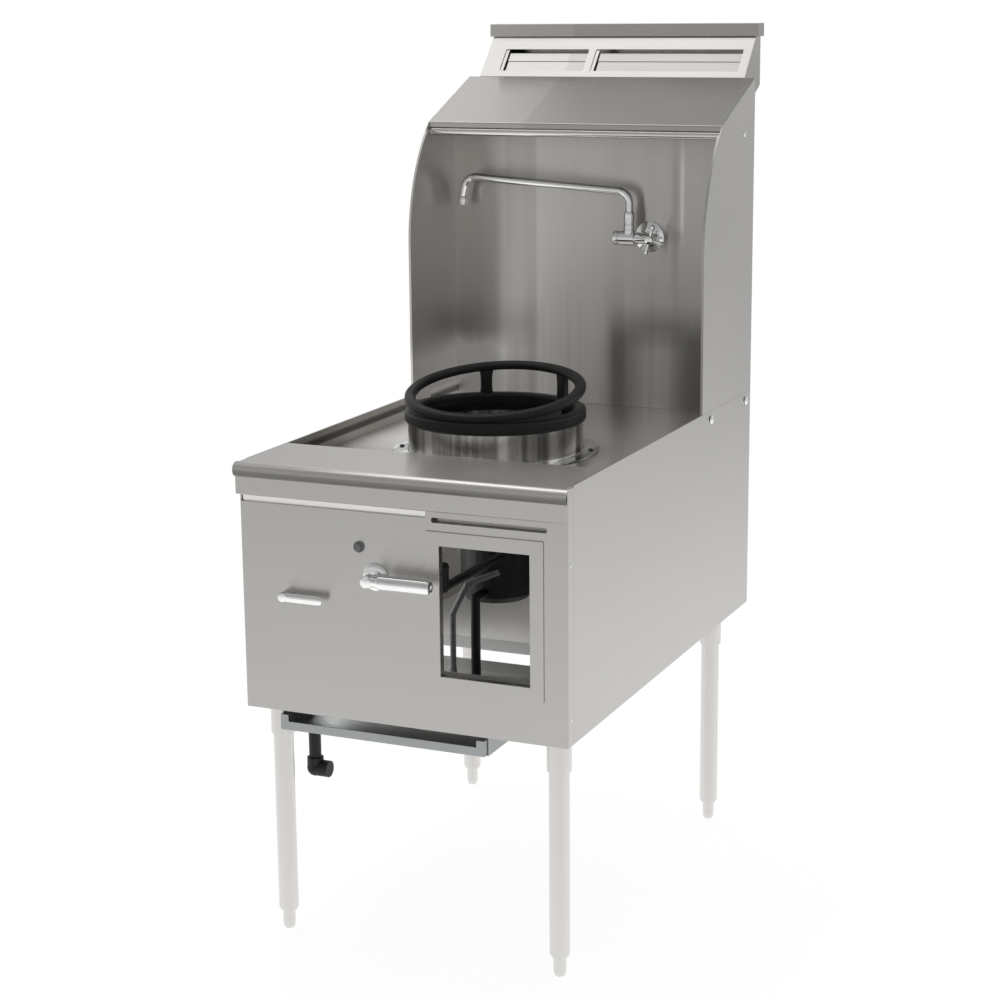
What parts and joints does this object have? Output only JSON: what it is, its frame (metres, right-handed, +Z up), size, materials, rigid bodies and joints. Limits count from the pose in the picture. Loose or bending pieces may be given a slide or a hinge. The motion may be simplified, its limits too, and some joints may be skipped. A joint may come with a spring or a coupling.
{
  "type": "wok range",
  "caption": "Single-burner wok range with a stainless cabinet, cast wok ring, curved splash hood with swing faucet, leaning flue and tube legs.",
  "frame": {"origin": "on the floor under the middle of the range's bounding box", "axes": "+X to the right seen from the front, +Y from the front to the wall behind, +Z up"},
  "size_m": [0.6096, 1.112, 1.5683],
  "materials": {
    "stainless": "brushed stainless sheet",
    "polished": "polished",
    "cast_iron": "seasoned casting",
    "galvanised": "galvanised sheet",
    "black_pipe": "black pipe",
    "leg_steel": "satin tube",
    "brass": "cast brass",
    "grey_plastic": "moulded plastic"
  },
  "bodies": {
    "range": {"left_side_panel": "stainless", "right_side_panel": "stainless", "front_panel": "stainless", "window_frame": "stainless", "cabinet_rear_panel": "stainless", "front_rail": "stainless", "burner_cross_bar": "stainless", "rear_bottom_plate": "stainless", "cooktop_deck": "stainless", "chimney_collar": "polished", "burner_chamber": "stainless", "burner_casting": "cast_iron", "flue_box": "stainless", "left_hood_side": "stainless", "right_hood_side": "stainless", "splash_back_panel": "stainless", "hood_canopy": "stainless", "hood_lip": "stainless", "hood_rear_panel": "stainless", "hood_bolt_left_front": "polished", "hood_bolt_left_rear": "polished", "hood_bolt_right_front": "polished", "hood_bolt_right_rear": "polished", "flue_riser": "stainless", "flue_louvre": "stainless", "flue_cap": "stainless", "leg_socket_front_left": "leg_steel", "leg_front_left": "leg_steel", "leg_socket_front_right": "leg_steel", "leg_front_right": "leg_steel", "leg_socket_rear_left": "leg_steel", "leg_rear_left": "leg_steel", "leg_socket_rear_right": "leg_steel", "leg_rear_right": "leg_steel", "left_tray_runner": "galvanised", "right_tray_runner": "galvanised", "gas_elbow": "black_pipe", "gas_inlet_pipe": "black_pipe", "main_gas_valve": "brass", "burner_supply_pipe": "black_pipe", "burner_riser_pipe": "black_pipe", "pilot_valve": "brass", "pilot_tube": "galvanised", "gas_lever_escutcheon": "polished", "igniter_body": "grey_plastic", "faucet_escutcheon": "polished", "faucet_valve_body": "polished", "faucet_collar": "polished"},
    "drip_tray": {"drip_tray": "galvanised"},
    "wok_ring": {"wok_ring": "cast_iron"},
    "gas_lever": {"gas_lever": "polished"},
    "pilot_lever": {"pilot_lever": "polished"},
    "igniter_button": {"igniter_button": "grey_plastic"},
    "faucet_spout": {"faucet_spout": "polished", "faucet_aerator": "polished"},
    "faucet_handle": {"faucet_handle": "polished"},
    "foot_front_left": {"foot_front_left": "leg_steel"},
    "foot_front_right": {"foot_front_right": "leg_steel"},
    "foot_rear_left": {"foot_rear_left": "leg_steel"},
    "foot_rear_right": {"foot_rear_right": "leg_steel"}
  },
  "joints": [
    {"name": "drip_tray_slide", "type": "slide", "parent": "range", "child": "drip_tray", "axis": [0, -1, 0], "range_m": [0, 0.35]},
    {"name": "wok_ring_lift", "type": "slide", "parent": "range", "child": "wok_ring", "axis": [0, 0, 1], "range_m": [0, 0.25]},
    {"name": "gas_lever_turn", "type": "hinge", "parent": "range", "child": "gas_lever", "pos_m": [-0.0445, -0.543, 0.684], "axis": [0, 1, 0], "range_deg": [0, 90]},
    {"name": "pilot_lever_turn", "type": "hinge", "parent": "range", "child": "pilot_lever", "pos_m": [-0.213, -0.523, 0.636], "axis": [0, 1, 0], "range_deg": [0, 90]},
    {"name": "igniter_push", "type": "slide", "parent": "range", "child": "igniter_button", "axis": [0, 1, 0], "range_m": [0, 0.004], "stiffness_N_per_m": 400},
    {"name": "faucet_spout_swing", "type": "hinge", "parent": "range", "child": "faucet_spout", "pos_m": [0.088, 0.335, 1.22], "axis": [0, 0, 1], "range_deg": [0, 118]},
    {"name": "faucet_handle_turn", "type": "hinge", "parent": "range", "child": "faucet_handle", "pos_m": [0.136, 0.315, 1.165], "axis": [0, 1, 0], "range_deg": [0, 270]},
    {"name": "foot_front_left_screw", "type": "slide", "parent": "range", "child": "foot_front_left", "axis": [0, 0, -1], "range_m": [0, 0.025]},
    {"name": "foot_front_right_screw", "type": "slide", "parent": "range", "child": "foot_front_right", "axis": [0, 0, -1], "range_m": [0, 0.025]},
    {"name": "foot_rear_left_screw", "type": "slide", "parent": "range", "child": "foot_rear_left", "axis": [0, 0, -1], "range_m": [0, 0.025]},
    {"name": "foot_rear_right_screw", "type": "slide", "parent": "range", "child": "foot_rear_right", "axis": [0, 0, -1], "range_m": [0, 0.025]}
  ]
}
